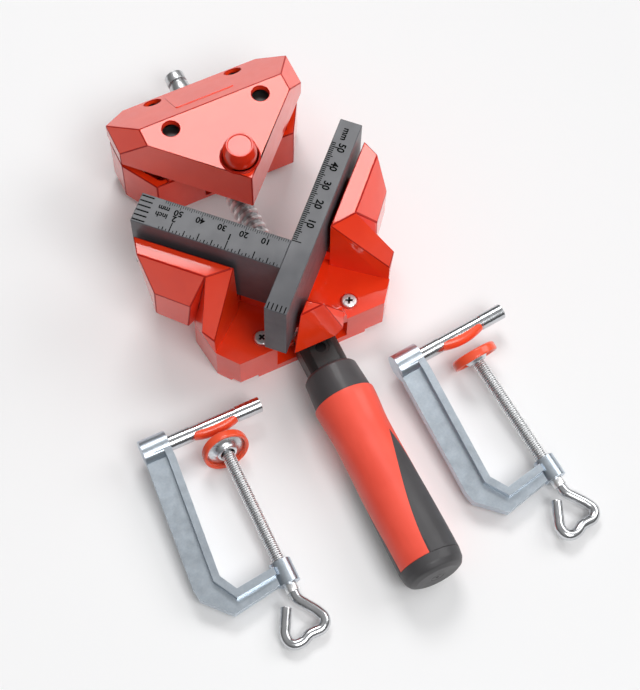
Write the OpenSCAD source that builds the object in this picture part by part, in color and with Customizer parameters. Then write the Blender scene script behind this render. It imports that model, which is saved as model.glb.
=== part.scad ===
// Corner clamp with two table clamps, all sizes in millimetres.
// The origin lies on the bench below the inner corner of the fixed jaws,
// +Y runs along the spindle towards the moving jaw and +Z points up.

/* [Fixed jaws] */
// Height of the scale faces above the bench
ruler_top = 72; // [70:0.5:80]
// Height of a scale cover
cover_h = 39; // [37:0.5:41]
// Thickness of the right scale cover
right_cover_t = 10.2; // [9.5:0.1:11]
// Thickness of the left scale cover
left_cover_t = 14.5; // [13.5:0.1:15.5]
// Reach of the right scale cover beyond the inner corner
right_cover_reach = 64.8; // [63:0.1:70]
// Reach of the right scale cover in front of the inner corner
right_cover_tail = 34.6; // [30:0.1:36]
// Reach of the left scale cover beyond the inner corner
left_cover_reach = 68.5; // [66:0.1:74]
// Wall of a scale cover round its cast core
cover_wall = 2.2; // [1.8:0.1:2.6]
// Play between a scale cover and its core
cover_play = 0.1; // [0.05:0.01:0.2]

/* [Base] */
// Height of the seam between the two base castings
seam_z = 19; // [18:0.25:21]
// Thickness of the upper casting's deck
deck_t = 3; // [2.5:0.25:4]
// Distance from the inner corner to the front of the base
base_front = 23; // [22:0.25:26]
// Half width of the base at the front
base_half_front = 36; // [34:0.5:40]
// Half width of the base at the side corner
base_half_side = 43.3; // [42:0.1:46]
// Distance of the side corner in front of the inner corner
base_side_y = 13.5; // [11:0.5:16]
// Length of the base along each fixed jaw
base_reach = 36; // [34:0.5:40]
// Depth of the base behind each fixed jaw
base_depth = 28.6; // [26:0.1:30]
// Thickness of the tray floor under the spindle
tray_floor = 4.5; // [4:0.25:5]
// Height of the buttress tops above the bench
buttress_top = 62; // [58:0.5:66]
// Width of a buttress top
buttress_w = 8.2; // [7:0.1:10]
// Gap between a scale cover and the buttress behind it
buttress_gap = 1.8; // [1.2:0.1:2.4]
// Height of the underside of the buttress wings
wing_z = 24; // [22:0.5:27]
// Height of the nose in front of the corner
nose_top = 50; // [46:0.5:54]
// Distance of a deck screw from the middle plane
screw_x = 21.7; // [20:0.1:24]
// Distance of a deck screw in front of the inner corner
screw_y = 15.5; // [14.5:0.1:16.5]
// Diameter of a deck screw
screw_d = 4; // [3.5:0.1:4.5]
// Diameter of a deck screw's head
screw_head_d = 7.2; // [6.8:0.1:7.8]

/* [Table clamp sockets] */
// Diameter of a socket for a table clamp's bar
socket_d = 8; // [7.8:0.05:8.2]
// Depth of a socket
socket_depth = 24; // [20:0.5:25]
// Height of a socket above the bench
socket_z = 9; // [8:0.25:10]
// Distance of a socket behind the fixed jaw's face
socket_behind = 15; // [13:0.25:17]

/* [Spindle] */
// Height of the spindle above the bench
spindle_z = 14.8; // [14.6:0.1:15]
// Outer diameter of the spindle's thread
spindle_d = 11.5; // [11:0.1:12]
// Diameter of the spindle's journal
journal_d = 9; // [8.5:0.1:9.5]
// Distance from the inner corner to the swivel axis of the bearing block
swivel_y = 11; // [10.5:0.1:11.5]
// Diameter of the bearing block
block_d = 18; // [17:0.1:18.4]
// Length of the bearing block along the spindle
block_l = 16; // [15:0.1:16.6]
// Diameter of the bearing block's trunnions
trunnion_d = 8; // [7:0.1:9]
// Length of each trunnion
trunnion_l = 3.6; // [3:0.1:3.8]
// Thickness of the thrust washer
washer_t = 1.5; // [1:0.1:1.8]
// Length of the retaining collar
retainer_l = 3; // [2.5:0.1:3.2]
// End of the thread behind the moving jaw
thread_end = 118; // [117:0.5:121]
// Diameter of the spindle's neck behind the thread
neck_d = 7; // [6:0.1:8]
// Diameter of the spindle's head
head_d = 9.7; // [9:0.1:10.5]
// End of the spindle's head
head_end = 133; // [131:0.5:136]
// Radial clearance of every bearing that turns or slides
running_play = 0.05; // [0.03:0.01:0.08]

/* [Handle] */
// Width across the square neck of the handle
neck_w = 18; // [17:0.1:19]
// Diameter of the handle neck's rounded corners
neck_round_d = 21; // [20:0.1:21.5]
// Distance of the cross pin in front of the inner corner
pin_y = 31; // [30.5:0.1:31.5]
// Diameter of the cross pin
pin_d = 5; // [4:0.1:5.5]
// Start of the handle's collar in front of the inner corner
collar_y = 40.4; // [40:0.1:42]
// Length of the handle's collar
collar_l = 15.4; // [14:0.1:17]
// Diameter of the handle's collar at the grip
collar_d = 27.4; // [26:0.1:28]
// Largest diameter of the grip
grip_d = 28.8; // [28:0.1:29]
// Diameter of the grip's waist
waist_d = 26.6; // [25:0.1:28]
// Length of the grip
grip_l = 83; // [78:0.5:88]
// Length of the handle's end cap
end_cap_l = 7.6; // [6:0.1:9]

/* [Moving jaw] */
// Distance from the inner corner to the front edge of the moving jaw
jaw_y = 40; // [39:0.5:44]
// Height of the moving jaw's top above the bench
jaw_top = 60.4; // [59:0.2:64]
// Height of the lower edge of the jaw shell
jaw_bottom = 37; // [36:0.25:38]
// Half width of the jaw's top face
jaw_top_half = 35.2; // [34:0.1:37]
// Half width of the jaw
jaw_half = 45.7; // [44:0.1:48]
// Length of the jaw from its front edge to its back
jaw_l = 71.5; // [70:0.5:74]
// Wall of the jaw shell
jaw_wall = 3.2; // [2.8:0.1:3.6]
// Diameter of the four holes in the jaw shell
jaw_hole_d = 8; // [7:0.1:8.5]
// Height of the foot's underside above the bench
foot_z = 4; // [3.5:0.25:4.5]
// Height of the foot's top above the bench
foot_top = 31; // [30:0.25:32]
// Distance from the jaw's front edge to the foot's front
foot_setback = 30.5; // [29:0.25:32]
// Half width of the foot's front
foot_half = 34.8; // [33:0.1:36]
// Distance from the jaw's front edge to the swivel axis and button
button_setback = 13.3; // [13:0.1:14]
// Outer diameter of the swivel post
post_d = 15.1; // [14.8:0.1:15.3]
// Diameter of the release button
button_d = 15.4; // [15:0.1:15.6]
// Height of the button above the jaw's top
button_h = 10; // [9:0.1:11]
// Travel of the button
button_travel = 3; // [2:0.1:3.2]

/* [Table clamps] */
// Diameter of a table clamp's bar
bar_d = 7.2; // [7:0.05:7.6]
// Reach of the bar beyond the screw's axis
bar_reach = 22.7; // [20:0.1:26]
// Distance from the screw's axis to the outer end of the bar boss
throat_back = 34.3; // [33.5:0.1:36]
// Length of the bar boss
bar_boss_l = 12.5; // [11:0.1:13]
// Distance from the bar to the nut boss
throat_h = 69; // [68:0.5:74]
// Length of the nut boss
nut_l = 10.6; // [9.5:0.1:11.5]
// Outer diameter of the nut boss
nut_boss_d = 10; // [9:0.1:10.4]
// Thickness of the frame's flange
flange_t = 11; // [10:0.1:11.4]
// Thickness of the frame's web
web_t = 5; // [4:0.1:6]
// Width of the frame's flange
flange_w = 3.4; // [3:0.1:4]
// Diameter of the table clamp's screw
clamp_screw_d = 6; // [5.6:0.1:6.2]
// Diameter of the screw's bent loop
loop_d = 5; // [4.6:0.1:5.2]
// Distance from the bar to the face of the pressure cap
cap_gap = 10.4; // [9.5:0.1:12]
// Diameter of the pressure plate
plate_d = 18; // [17:0.1:18.6]
// Diameter of the pressure cap
cap_d = 21.5; // [21:0.1:22]
// Thickness of the bar pad
pad_t = 1.6; // [1.2:0.1:2]

/* [Hidden] */
$fn = 64;

RED = [0.86, 0.12, 0.08];
SOFT_RED = [0.90, 0.20, 0.13];
GREY = [0.27, 0.27, 0.29];
BLACK = [0.12, 0.12, 0.12];
ZINC = [0.74, 0.76, 0.80];
BRASS = [0.72, 0.58, 0.30];
ORANGE = [0.95, 0.25, 0.10];

root2 = sqrt(2);
cover_bottom = ruler_top - cover_h;
deck_top = seam_z + deck_t;
inner_setback = 1;
tunnel_half = 9.5;
tunnel_top = deck_top + 0.3;
swivel_pos = -swivel_y;
block_bottom = tray_floor + 0.3;
block_top = tunnel_top - 0.3;
thrust_back = swivel_pos + block_l / 2;
thrust_front = swivel_pos - block_l / 2;
thread_start = thrust_back + washer_t;
jaw_back = jaw_y + jaw_l;
button_y = jaw_y + button_setback;

// Frame of the right fixed jaw: x along the jaw, +y towards the work
module on_right() {
    rotate(45) children();
}

// Frame of the left fixed jaw, the mirror image of the right one
module on_left() {
    mirror([1, 0, 0]) rotate(45) children();
}

// Both halves of something symmetric about the middle plane
module both_sides() {
    children();
    mirror([1, 0, 0]) children();
}

// Convex block spanned by its corner points
module facets(corners) {
    hull() polyhedron(corners, [[for (i = [0:len(corners) - 1]) i]]);
}

// Cylinder along +Y from y0 to y1 on the spindle's axis
module along_y(d, y0, y1) {
    translate([0, y0, spindle_z]) rotate([-90, 0, 0]) cylinder(d = d, h = y1 - y0);
}

// Point of the base outline given along and behind a fixed jaw
function jaw_point(along, behind) = [(along + behind) / root2, (along - behind) / root2];

function mirrored(points) = [for (i = [len(points) - 1:-1:0]) [-points[i][0], points[i][1]]];

base_right = [
    [base_half_front, -base_front],
    [base_half_side, -base_side_y],
    jaw_point(base_reach, base_depth),
    jaw_point(base_reach, inner_setback)
];
base_outline = concat(base_right, [[0, -inner_setback * root2]], mirrored(base_right));

// Base

front_gap_half = 17.5;
front_gap_depth = 6;
notch_w = 9;
notch_h = 2.4;
notch_depth = 4;
trunnion_play = 0.1;
web_reach = 12;
pilot_d = screw_d - 0.6;

// Sockets in the end faces of the base's two arms
module socket_bores() {
    both_sides() on_right()
        translate([base_reach - socket_depth, -socket_behind, socket_z])
            rotate([0, 90, 0]) cylinder(d = socket_d, h = socket_depth + 10);
}

module base_tray() {
    color(RED) difference() {
        union() {
            linear_extrude(seam_z) polygon(base_outline);
            linear_extrude(tray_floor) polygon([
                [0, -base_front / 2],
                jaw_point(web_reach, inner_setback),
                mirrored([jaw_point(web_reach, inner_setback)])[0]
            ]);
        }
        translate([-tunnel_half, -base_front - 1, tray_floor])
            cube([2 * tunnel_half, base_front + base_reach, seam_z]);
        translate([-front_gap_half, -base_front - 1, tray_floor])
            cube([2 * front_gap_half, front_gap_depth + 1, seam_z]);
        translate([0, swivel_pos, tray_floor - trunnion_l + 0.2 - trunnion_play])
            cylinder(d = trunnion_d + 2 * running_play, h = trunnion_l + 2);
        socket_bores();
        both_sides() {
            translate([screw_x, -screw_y, tray_floor]) cylinder(d = pilot_d, h = seam_z);
            translate([base_half_front - notch_w, -base_front - 1, -1])
                cube([notch_w + 3, notch_depth + 1, notch_h + 1]);
        }
    }
}

core_top = ruler_top - cover_wall - 0.8 - cover_play;
core_gap = cover_wall + cover_play;
core_front = 19;
left_shift = left_cover_t - right_cover_t;

// Upright core that carries one scale cover
module jaw_core(start, reach, cover_t) {
    translate([start, -cover_t + core_gap, deck_top - 0.5])
        cube([reach - core_gap - start, cover_t - 2 * core_gap, core_top - deck_top + 0.5]);
}

// Faceted buttress behind one fixed jaw; shift is how far it sits further out
module buttress(cover_t, reach, shift) {
    near = cover_t + buttress_gap;
    ridge = near + buttress_w;
    ridge_start = 27.4 + 0.7 * shift;
    ridge_end = reach - 6;
    low_out = base_depth + 10.9;
    facets([
        [17.4 + 0.75 * shift, -near, buttress_top],
        [ridge_start, -near, buttress_top],
        [ridge_start, -ridge, buttress_top],
        [27.4, -low_out, buttress_top - 24.3],
        [21.7, -low_out, buttress_top - 29.5],
        [21.3, -low_out - 0.2, seam_z],
        [base_reach, -base_depth, seam_z],
        [base_reach, -near, seam_z],
        [19, -near, seam_z]
    ]);
    facets([
        [ridge_start, -near, buttress_top],
        [ridge_start, -ridge, buttress_top],
        [ridge_end, -ridge + 0.4, buttress_top - 0.5],
        [reach - 1.4, -near, buttress_top - 0.5],
        [35, -ridge - 8.2, buttress_top - 17],
        [52.5, -ridge - 7, buttress_top - 18],
        [reach - 0.8, -near, buttress_top - 17],
        [37, -ridge - 8.2, wing_z],
        [53, -ridge - 7, wing_z],
        [reach - 3.5, -near, wing_z],
        [30, -near, wing_z]
    ]);
    translate([20, -near - 2, wing_z])
        cube([reach - 25, buttress_gap + core_gap + 3, cover_bottom - wing_z - 0.6]);
}

nose_bottom = spindle_z + neck_round_d / 2 + 0.8;

// Wedge that backs the front end of the right fixed jaw
module nose() {
    facets([
        [-1.7, -19, nose_top],
        [-7.3, -24.6, nose_top],
        [4.2, -23.9, nose_top],
        [-12.9, -30.3, nose_bottom],
        [7.3, -30.2, nose_bottom],
        [12.6, -28.2, nose_bottom],
        [17, -20.5, nose_bottom - 1],
        [8, -10, nose_bottom - 1],
        [3.5, -13.5, nose_bottom - 1]
    ]);
    translate([11, -base_front, deck_top - 1]) cube([6, 5, nose_bottom - deck_top + 1.2]);
}

swivel_boss_d = 21;

module base_casting() {
    color(RED) difference() {
        union() {
            translate([0, 0, seam_z]) linear_extrude(deck_t) polygon(base_outline);
            on_right() jaw_core(-core_front, right_cover_reach, right_cover_t);
            on_left() jaw_core(core_gap, left_cover_reach, left_cover_t);
            on_right() buttress(right_cover_t, right_cover_reach, 0);
            on_left() buttress(left_cover_t, left_cover_reach, left_shift);
            nose();
            translate([0, swivel_pos, deck_top - 1]) cylinder(d = swivel_boss_d, h = trunnion_l + 3);
        }
        translate([-tunnel_half, -base_front - 1, seam_z - 1])
            cube([2 * tunnel_half, base_front + base_reach, tunnel_top - seam_z + 1]);
        translate([0, swivel_pos, tunnel_top - 1])
            cylinder(d = trunnion_d + 2 * running_play, h = trunnion_l + 1 + trunnion_play);
        both_sides() translate([screw_x, -screw_y, seam_z - 1]) {
            cylinder(d = screw_d + 0.6, h = deck_t + 2);
            translate([0, 0, deck_t + 0.4]) cylinder(d = screw_head_d + 1.4, h = nose_top - seam_z);
        }
    }
}

// Scale cover pushed over its core
module scale_cover(start, reach, cover_t, core_start) {
    difference() {
        translate([start, -cover_t, cover_bottom]) cube([reach - start, cover_t, cover_h]);
        translate([core_start - cover_play, -cover_t + cover_wall, cover_bottom - 1])
            cube([reach - cover_wall - core_start + cover_play, cover_t - 2 * cover_wall,
                  core_top + cover_play - cover_bottom + 1]);
    }
}

module scale_cover_right() {
    color(GREY) on_right()
        scale_cover(-right_cover_tail, right_cover_reach, right_cover_t, -core_front);
}

module scale_cover_left() {
    color(GREY) on_left() scale_cover(0, left_cover_reach, left_cover_t, core_gap);
}

deck_screw_l = 15;
screw_head_h = 2.1;
screw_seat = deck_top - 0.6;

// Pan head screws
module deck_screws() {
    head_r = screw_head_d / 2;
    color(ZINC) both_sides() translate([screw_x, -screw_y, screw_seat]) {
        rotate_extrude() polygon([
            [0, 0],
            [head_r, 0],
            [head_r, 0.6 * screw_head_h],
            [0.93 * head_r, 0.86 * screw_head_h],
            [0.8 * head_r, screw_head_h],
            [0, screw_head_h]
        ]);
        translate([0, 0, -deck_screw_l]) cylinder(d = pilot_d - 0.1, h = deck_screw_l + 0.5);
    }
}

// Spindle, its bearing and the handle

washer_d = 14;
retainer_d = 15;
fit_play = 0.02;

module bearing_block() {
    color(ZINC) difference() {
        union() {
            intersection() {
                translate([0, swivel_pos, block_bottom])
                    cylinder(d = block_d, h = block_top - block_bottom);
                translate([-block_d, thrust_front, 0]) cube([2 * block_d, block_l, ruler_top]);
            }
            translate([0, swivel_pos, block_bottom - trunnion_l]) cylinder(d = trunnion_d, h = trunnion_l + 1);
            translate([0, swivel_pos, block_top - 1]) cylinder(d = trunnion_d, h = trunnion_l + 1);
        }
        along_y(journal_d + 2 * running_play, thrust_front - 1, thrust_back + 1);
    }
}

stub_end = collar_y - 3;
head_l = 11;
groove_w = 1.6;
groove_d = head_d - 2;

module spindle() {
    color(ZINC) {
        difference() {
            along_y(journal_d, -stub_end, thread_start + 1);
            translate([0, -pin_y, 0]) cylinder(d = pin_d + 2 * fit_play, h = 2 * spindle_z);
        }
        along_y(spindle_d, thread_start, thread_end);
        along_y(neck_d, thread_end - 1, head_end - head_l + 1);
        difference() {
            along_y(head_d, head_end - head_l, head_end);
            difference() {
                along_y(head_d + 2, head_end - 6, head_end - 6 + groove_w);
                along_y(groove_d, head_end - 7, head_end);
            }
        }
    }
}

module thrust_washer() {
    color(BRASS) difference() {
        along_y(washer_d, thrust_back, thread_start);
        along_y(journal_d + 2 * fit_play, thrust_back - 1, thread_start + 1);
    }
}

module retaining_collar() {
    color(ZINC) difference() {
        along_y(retainer_d, thrust_front - retainer_l, thrust_front);
        along_y(journal_d + 2 * fit_play, thrust_front - retainer_l - 1, thrust_front + 1);
    }
}

neck_front = 24.4;

module handle_neck() {
    color(BLACK) difference() {
        intersection() {
            along_y(neck_round_d, -collar_y, -neck_front);
            translate([-neck_w / 2, -collar_y - 1, spindle_z - neck_w / 2])
                cube([neck_w, collar_y, neck_w]);
        }
        along_y(journal_d + 2 * fit_play, -stub_end - 0.2, 0);
        translate([0, -pin_y, 0]) cylinder(d = pin_d + 2 * fit_play, h = 2 * spindle_z);
        for (side = [-1, 1])
            translate([0, -pin_y, spindle_z + side * (neck_w / 2)]) cylinder(d = pin_d + 3, h = 1.2, center = true);
    }
}

module handle_cross_pin() {
    color(ZINC) translate([0, -pin_y, spindle_z]) cylinder(d = pin_d, h = neck_w - 2, center = true);
}

// Body of revolution about the spindle's axis, from pairs of distance and diameter
module turned(profile) {
    last = len(profile) - 1;
    outline = concat(
        [[0, profile[0][0]]],
        [for (p = profile) [p[1] / 2, p[0]]],
        [[0, profile[last][0]]]
    );
    translate([0, 0, spindle_z]) rotate([90, 0, 0]) rotate_extrude($fn = 96) polygon(outline);
}

collar_end = collar_y + collar_l;
grip_end = collar_end + grip_l;
cap_end = grip_end + end_cap_l;

module handle_collar() {
    color(GREY) turned([
        [collar_y, collar_d - 5],
        [collar_y + 1.4, collar_d - 2.2],
        [collar_end, collar_d]
    ]);
}

// Smooth step from 0 to 1
function ease(t) = t * t * (3 - 2 * t);

waist_at = 0.22;

function grip_diameter(t) =
    t < waist_at
        ? grip_d + (waist_d - grip_d) * ease(t / waist_at)
        : waist_d + (grip_d - waist_d) * ease((t - waist_at) / (1 - waist_at));

insert_start = collar_end + 23.5;
insert_depth = 1.6;
insert_half = 0.4 * grip_d;
insert_x = 2;
insert_turn = 40;
insert_play = 0.1;

// Half leaves on both sides of the grip, widest at its end and grown by a margin
module insert_zones(margin) {
    length = grip_end - insert_start + margin;
    radius = (pow(length, 2) + pow(insert_half + margin, 2)) / (2 * (insert_half + margin));
    for (half = [0, 180])
        translate([0, -grip_end, spindle_z]) rotate([0, half - insert_turn, 0])
            translate([insert_x, 0, 0]) rotate([0, 90, 0])
                linear_extrude(grip_d) intersection_for(side = [-1, 1])
                    translate([side * (radius - insert_half - margin), 0]) circle(r = radius, $fn = 160);
}

grip_steps = 24;

module grip_form(margin) {
    turned([for (i = [0:grip_steps]) let (t = i / grip_steps)
        [collar_end + grip_l * t, grip_diameter(t) - 2 * margin]]);
}

module handle_grip() {
    color(SOFT_RED) difference() {
        grip_form(0);
        difference() {
            insert_zones(insert_play);
            grip_form(insert_depth);
        }
    }
}

module grip_inserts() {
    color(GREY) intersection() {
        insert_zones(0);
        difference() {
            grip_form(0.05);
            grip_form(insert_depth - insert_play);
        }
    }
}

module handle_end_cap() {
    rim = grip_diameter(1);
    color(GREY) turned([
        [grip_end, rim],
        [grip_end + 0.55 * end_cap_l, rim - 1.2],
        [grip_end + 0.85 * end_cap_l, rim - 4],
        [cap_end, rim - 9],
        [cap_end, 6],
        [cap_end - 1.2, 5]
    ]);
}

// Moving jaw: carriage on the spindle, quick release, shell and foot

foot_front = jaw_y + foot_setback;
carriage_half = 12;
housing_start = foot_front + 5.5;
housing_end = jaw_back - 8.5;
housing_bottom = spindle_z - spindle_d / 2 - 1.4;
arm_bottom = jaw_bottom + 0.5;
arm_t = 6.5;
arm_top = arm_bottom + arm_t;
arm_half = 7;
arm_wide_y = foot_front - 4.5;
arm_end = jaw_back - 16;
post_top = jaw_top - jaw_wall - 0.3;
window_half = 6.5;
window_start = housing_start + 2;
window_end = housing_end - 6;
guide_d = 10;
stem_d = 6;
spring_seat = arm_bottom + 2.5;
rocker_half = 4;
rocker_y = foot_front - 0.5;
rocker_z = arm_bottom - 4;
rocker_t = 4;
ear_gap = 0.4;
ear_t = 3;
rocker_pin_d = 4;

module nut_carriage() {
    color(ZINC) difference() {
        union() {
            translate([0, button_y, arm_bottom]) cylinder(d = post_d, h = post_top - arm_bottom);
            translate([-arm_half, button_y, arm_bottom])
                cube([2 * arm_half, arm_wide_y - button_y + 1, arm_t]);
            translate([-carriage_half, arm_wide_y, arm_bottom])
                cube([2 * carriage_half, arm_end - arm_wide_y, arm_t]);
            translate([-carriage_half, housing_start, housing_bottom])
                cube([2 * carriage_half, housing_end - housing_start, arm_bottom - housing_bottom + 1]);
            for (side = [-1, 1])
                translate([side * (rocker_half + ear_gap + ear_t / 2), rocker_y, rocker_z + 1])
                    cube([ear_t, 8, 9], center = true);
        }
        along_y(spindle_d + 2 * running_play, housing_start - 1, housing_end + 1);
        translate([0, button_y, spring_seat]) cylinder(d = guide_d + 2 * running_play, h = ruler_top);
        translate([0, button_y, arm_bottom - 1]) cylinder(d = stem_d + 1, h = arm_t);
        translate([-window_half, window_start, spindle_z])
            cube([2 * window_half, window_end - window_start, ruler_top]);
        translate([-window_half, housing_start - 1, rocker_z - rocker_t])
            cube([2 * window_half, window_start - housing_start + 2, arm_bottom - rocker_z + rocker_t]);
        translate([-carriage_half, rocker_y, rocker_z]) rotate([0, 90, 0])
            cylinder(d = rocker_pin_d + 2 * fit_play, h = 2 * carriage_half);
    }
}

rocker_front = button_y - 4;
rocker_back = window_end - 4;
nut_half = window_half - 0.4;
nut_top = rocker_z - rocker_t / 2;

module release_rocker() {
    color(GREY) difference() {
        union() {
            translate([-rocker_half, rocker_front, rocker_z - rocker_t / 2])
                cube([2 * rocker_half, rocker_back - rocker_front, rocker_t]);
            translate([-rocker_half, rocker_y, rocker_z]) rotate([0, 90, 0])
                cylinder(d = rocker_pin_d + 3, h = 2 * rocker_half);
        }
        translate([-carriage_half, rocker_y, rocker_z]) rotate([0, 90, 0])
            cylinder(d = rocker_pin_d + 2 * running_play, h = 2 * carriage_half);
    }
}

module rocker_pin() {
    length = 2 * (rocker_half + ear_gap + ear_t) + 2;
    color(ZINC) translate([-length / 2, rocker_y, rocker_z]) rotate([0, 90, 0])
        cylinder(d = rocker_pin_d, h = length);
}

nut_l_half = (window_end - window_start) / 2 - 4.5;
nut_mid = (window_start + window_end) / 2 + 1;
nut_bottom = spindle_z + 1.5;

module half_nut() {
    color(BRASS) difference() {
        translate([-nut_half, nut_mid - nut_l_half, nut_bottom])
            cube([2 * nut_half, 2 * nut_l_half, nut_top - nut_bottom]);
        along_y(spindle_d + 2 * running_play, 0, head_end);
    }
}

button_top = jaw_top + button_h;
button_shoulder = jaw_top + 0.62 * button_h;
guide_bottom = jaw_top - 12;
stem_bottom = rocker_z + rocker_t / 2 + 0.1;
tip_h = 2;

module release_button() {
    color(RED) translate([0, button_y, 0]) difference() {
        union() {
            translate([0, 0, jaw_top + 0.3]) cylinder(d = button_d, h = button_shoulder - jaw_top - 0.3);
            translate([0, 0, button_shoulder])
                cylinder(d1 = button_d, d2 = button_d - 3.2, h = button_top - button_shoulder);
            translate([0, 0, guide_bottom]) cylinder(d = guide_d, h = button_shoulder - guide_bottom);
            translate([0, 0, stem_bottom + tip_h]) cylinder(d = stem_d, h = guide_bottom - stem_bottom);
            translate([0, 0, stem_bottom]) cylinder(d1 = stem_d - 4, d2 = stem_d, h = tip_h);
        }
        translate([0, 0, button_top - 0.5]) cylinder(d = button_d - 4.6, h = 2);
    }
}

spring_d = 8;
spring_wire = 1;
spring_turns = 4;

// Coil spring between the arm and the button's guide
module button_spring() {
    parts = 20;
    n = spring_turns * parts;
    m = 8;
    rise = guide_bottom - spring_seat - spring_wire;
    points = [for (i = [0:n]) for (j = [0:m - 1]) let (t = 360 * i / parts, a = 360 * j / m,
        r = (spring_d - spring_wire * cos(a)) / 2)
        [r * cos(t), r * sin(t), rise * i / n + spring_wire / 2 * sin(a)]];
    sides = [for (i = [0:n - 1]) for (j = [0:m - 1]) let (k = (j + 1) % m)
        [i * m + j, i * m + k, (i + 1) * m + k, (i + 1) * m + j]];
    first = [for (j = [0:m - 1]) m - 1 - j];
    last = [for (j = [0:m - 1]) n * m + j];
    color(ZINC) translate([0, button_y, spring_seat + spring_wire / 2])
        polyhedron(points, concat(sides, [first, last]));
}

// Half outline of the jaw at one level, from the front edge to the back
shelf_y = jaw_y + jaw_half;
corner_y = jaw_back - 9.1;
back_half = jaw_half - 11.4;
top_side_y = jaw_y + jaw_top_half + 0.6;
top_back_y = jaw_y + jaw_top_half + 10.1;
bevel_slope = (jaw_top - jaw_bottom - 0.7) / (jaw_back - top_back_y);
corner_z = jaw_top - bevel_slope * (corner_y - top_back_y);

function with_z(points, z) = [for (p = points) [p[0], p[1], z]];

function jaw_outer(inset) = concat(
    with_z([[0, jaw_y + 0.6 + inset * root2]], jaw_top - inset),
    [for (side = [-1, 1]) each [
        [side * (jaw_top_half - 0.6 * inset), top_side_y + 0.6 * inset, jaw_top - inset],
        [side * (jaw_top_half - 0.6 * inset), top_back_y - 0.5 * inset, jaw_top - inset],
        [side * (jaw_half - inset), shelf_y + 0.4 * inset, corner_z - 0.4 * inset],
        [side * (jaw_half - inset), corner_y - 0.4 * inset, corner_z - 0.4 * inset],
        [side * (back_half - 0.4 * inset), jaw_back - inset, jaw_bottom + 0.7],
        [side * (jaw_half - inset), shelf_y + 0.4 * inset, jaw_bottom - (inset > 0 ? 1 : 0)],
        [side * (jaw_half - inset), corner_y - 0.4 * inset, jaw_bottom - (inset > 0 ? 1 : 0)],
        [side * (back_half - 0.4 * inset), jaw_back - inset, jaw_bottom - (inset > 0 ? 1 : 0)]
    ]],
    with_z([[0, jaw_y + inset * root2]], jaw_bottom - (inset > 0 ? 1 : 0))
);

hole_x = 22.1;
hole_y = top_back_y - 5.7;
bevel_hole_x = 20.4;
bevel_hole_y = jaw_back - 4;
bevel_angle = atan(bevel_slope);
jaw_screw_x = 28;
jaw_screw_y = jaw_back - 18.5;
jaw_post_d = 9;
jaw_screw_d = 4;
jaw_head_d = jaw_screw_d + 3.6;
jaw_head_h = 2.6;
jaw_screw_seat = foot_z + 4;

module jaw_shell() {
    color(RED) difference() {
        union() {
            difference() {
                facets(jaw_outer(0));
                facets(jaw_outer(jaw_wall));
            }
            intersection() {
                facets(jaw_outer(0));
                union() {
                    translate([0, button_y, arm_top + 0.5])
                        cylinder(d = post_d + 4, h = jaw_top - arm_top - 1.5);
                    both_sides() translate([jaw_screw_x, jaw_screw_y, jaw_bottom])
                        cylinder(d = jaw_post_d, h = jaw_top);
                }
            }
            translate([0, button_y, jaw_top - 1]) cylinder(d = button_d + 2.4, h = 2.2);
        }
        translate([0, button_y, arm_bottom - 2]) cylinder(d = post_d + 1.2, h = arm_t + 2.5);
        translate([0, button_y, arm_bottom]) cylinder(d = post_d + 2 * running_play, h = post_top + 0.3 - arm_bottom);
        translate([0, button_y, post_top]) cylinder(d = button_d + 0.8, h = jaw_top);
        both_sides() {
            translate([hole_x, hole_y, jaw_top - 10]) cylinder(d = jaw_hole_d, h = 20);
            translate([bevel_hole_x, bevel_hole_y, jaw_top - bevel_slope * (bevel_hole_y - top_back_y)])
                rotate([-bevel_angle, 0, 0]) cylinder(d = jaw_hole_d, h = 14, center = true);
            translate([jaw_screw_x, jaw_screw_y, jaw_bottom - 1]) cylinder(d = jaw_screw_d - 0.6, h = 10);
        }
    }
}

foot_wall = 3;
foot_floor = 3;
foot_side_y = foot_front + 17.5;
foot_back = jaw_back - 0.3;
neck_t = 6;
foot_right = [
    [foot_half, foot_front],
    [jaw_half - 0.7, foot_side_y],
    [jaw_half - 0.7, corner_y],
    [back_half, foot_back]
];
foot_pocket = [
    [foot_half - foot_wall, foot_front + foot_wall],
    [jaw_half - 0.7 - foot_wall, foot_side_y + 1],
    [jaw_half - 0.7 - foot_wall, corner_y - 1.5],
    [back_half - 1, foot_back - foot_wall]
];

module jaw_foot() {
    passage = spindle_d / 2 + 5.25;
    color(RED) difference() {
        union() {
            difference() {
                translate([0, 0, foot_z]) linear_extrude(foot_top - foot_z)
                    polygon(concat(foot_right, mirrored(foot_right)));
                translate([0, 0, foot_z + foot_floor]) linear_extrude(foot_top)
                    polygon(concat(foot_pocket, mirrored(foot_pocket)));
            }
            both_sides() {
                translate([jaw_screw_x, jaw_screw_y, foot_z]) cylinder(d = jaw_post_d, h = jaw_bottom - foot_z);
                translate([foot_half - 14, foot_front + 0.5, foot_top - 1])
                    cube([8, neck_t, jaw_bottom - foot_top + 1]);
            }
        }
        translate([-passage, 0, foot_z + foot_floor]) cube([2 * passage, head_end, foot_top]);
        both_sides() {
            translate([jaw_screw_x, jaw_screw_y, foot_z - 1]) {
                cylinder(d = jaw_screw_d + 0.6, h = jaw_bottom);
                cylinder(d = jaw_head_d + 0.8, h = jaw_screw_seat - foot_z + 1);
            }
        }
    }
}

module jaw_screws() {
    color(ZINC) both_sides() translate([jaw_screw_x, jaw_screw_y, jaw_screw_seat]) {
        translate([0, 0, -jaw_head_h]) cylinder(d = jaw_head_d, h = jaw_head_h);
        translate([0, 0, -1]) cylinder(d = jaw_screw_d - 0.7, h = jaw_bottom - jaw_screw_seat + 8);
    }
}

// Table clamps, each in a frame with its bar along X and its screw along Y

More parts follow.
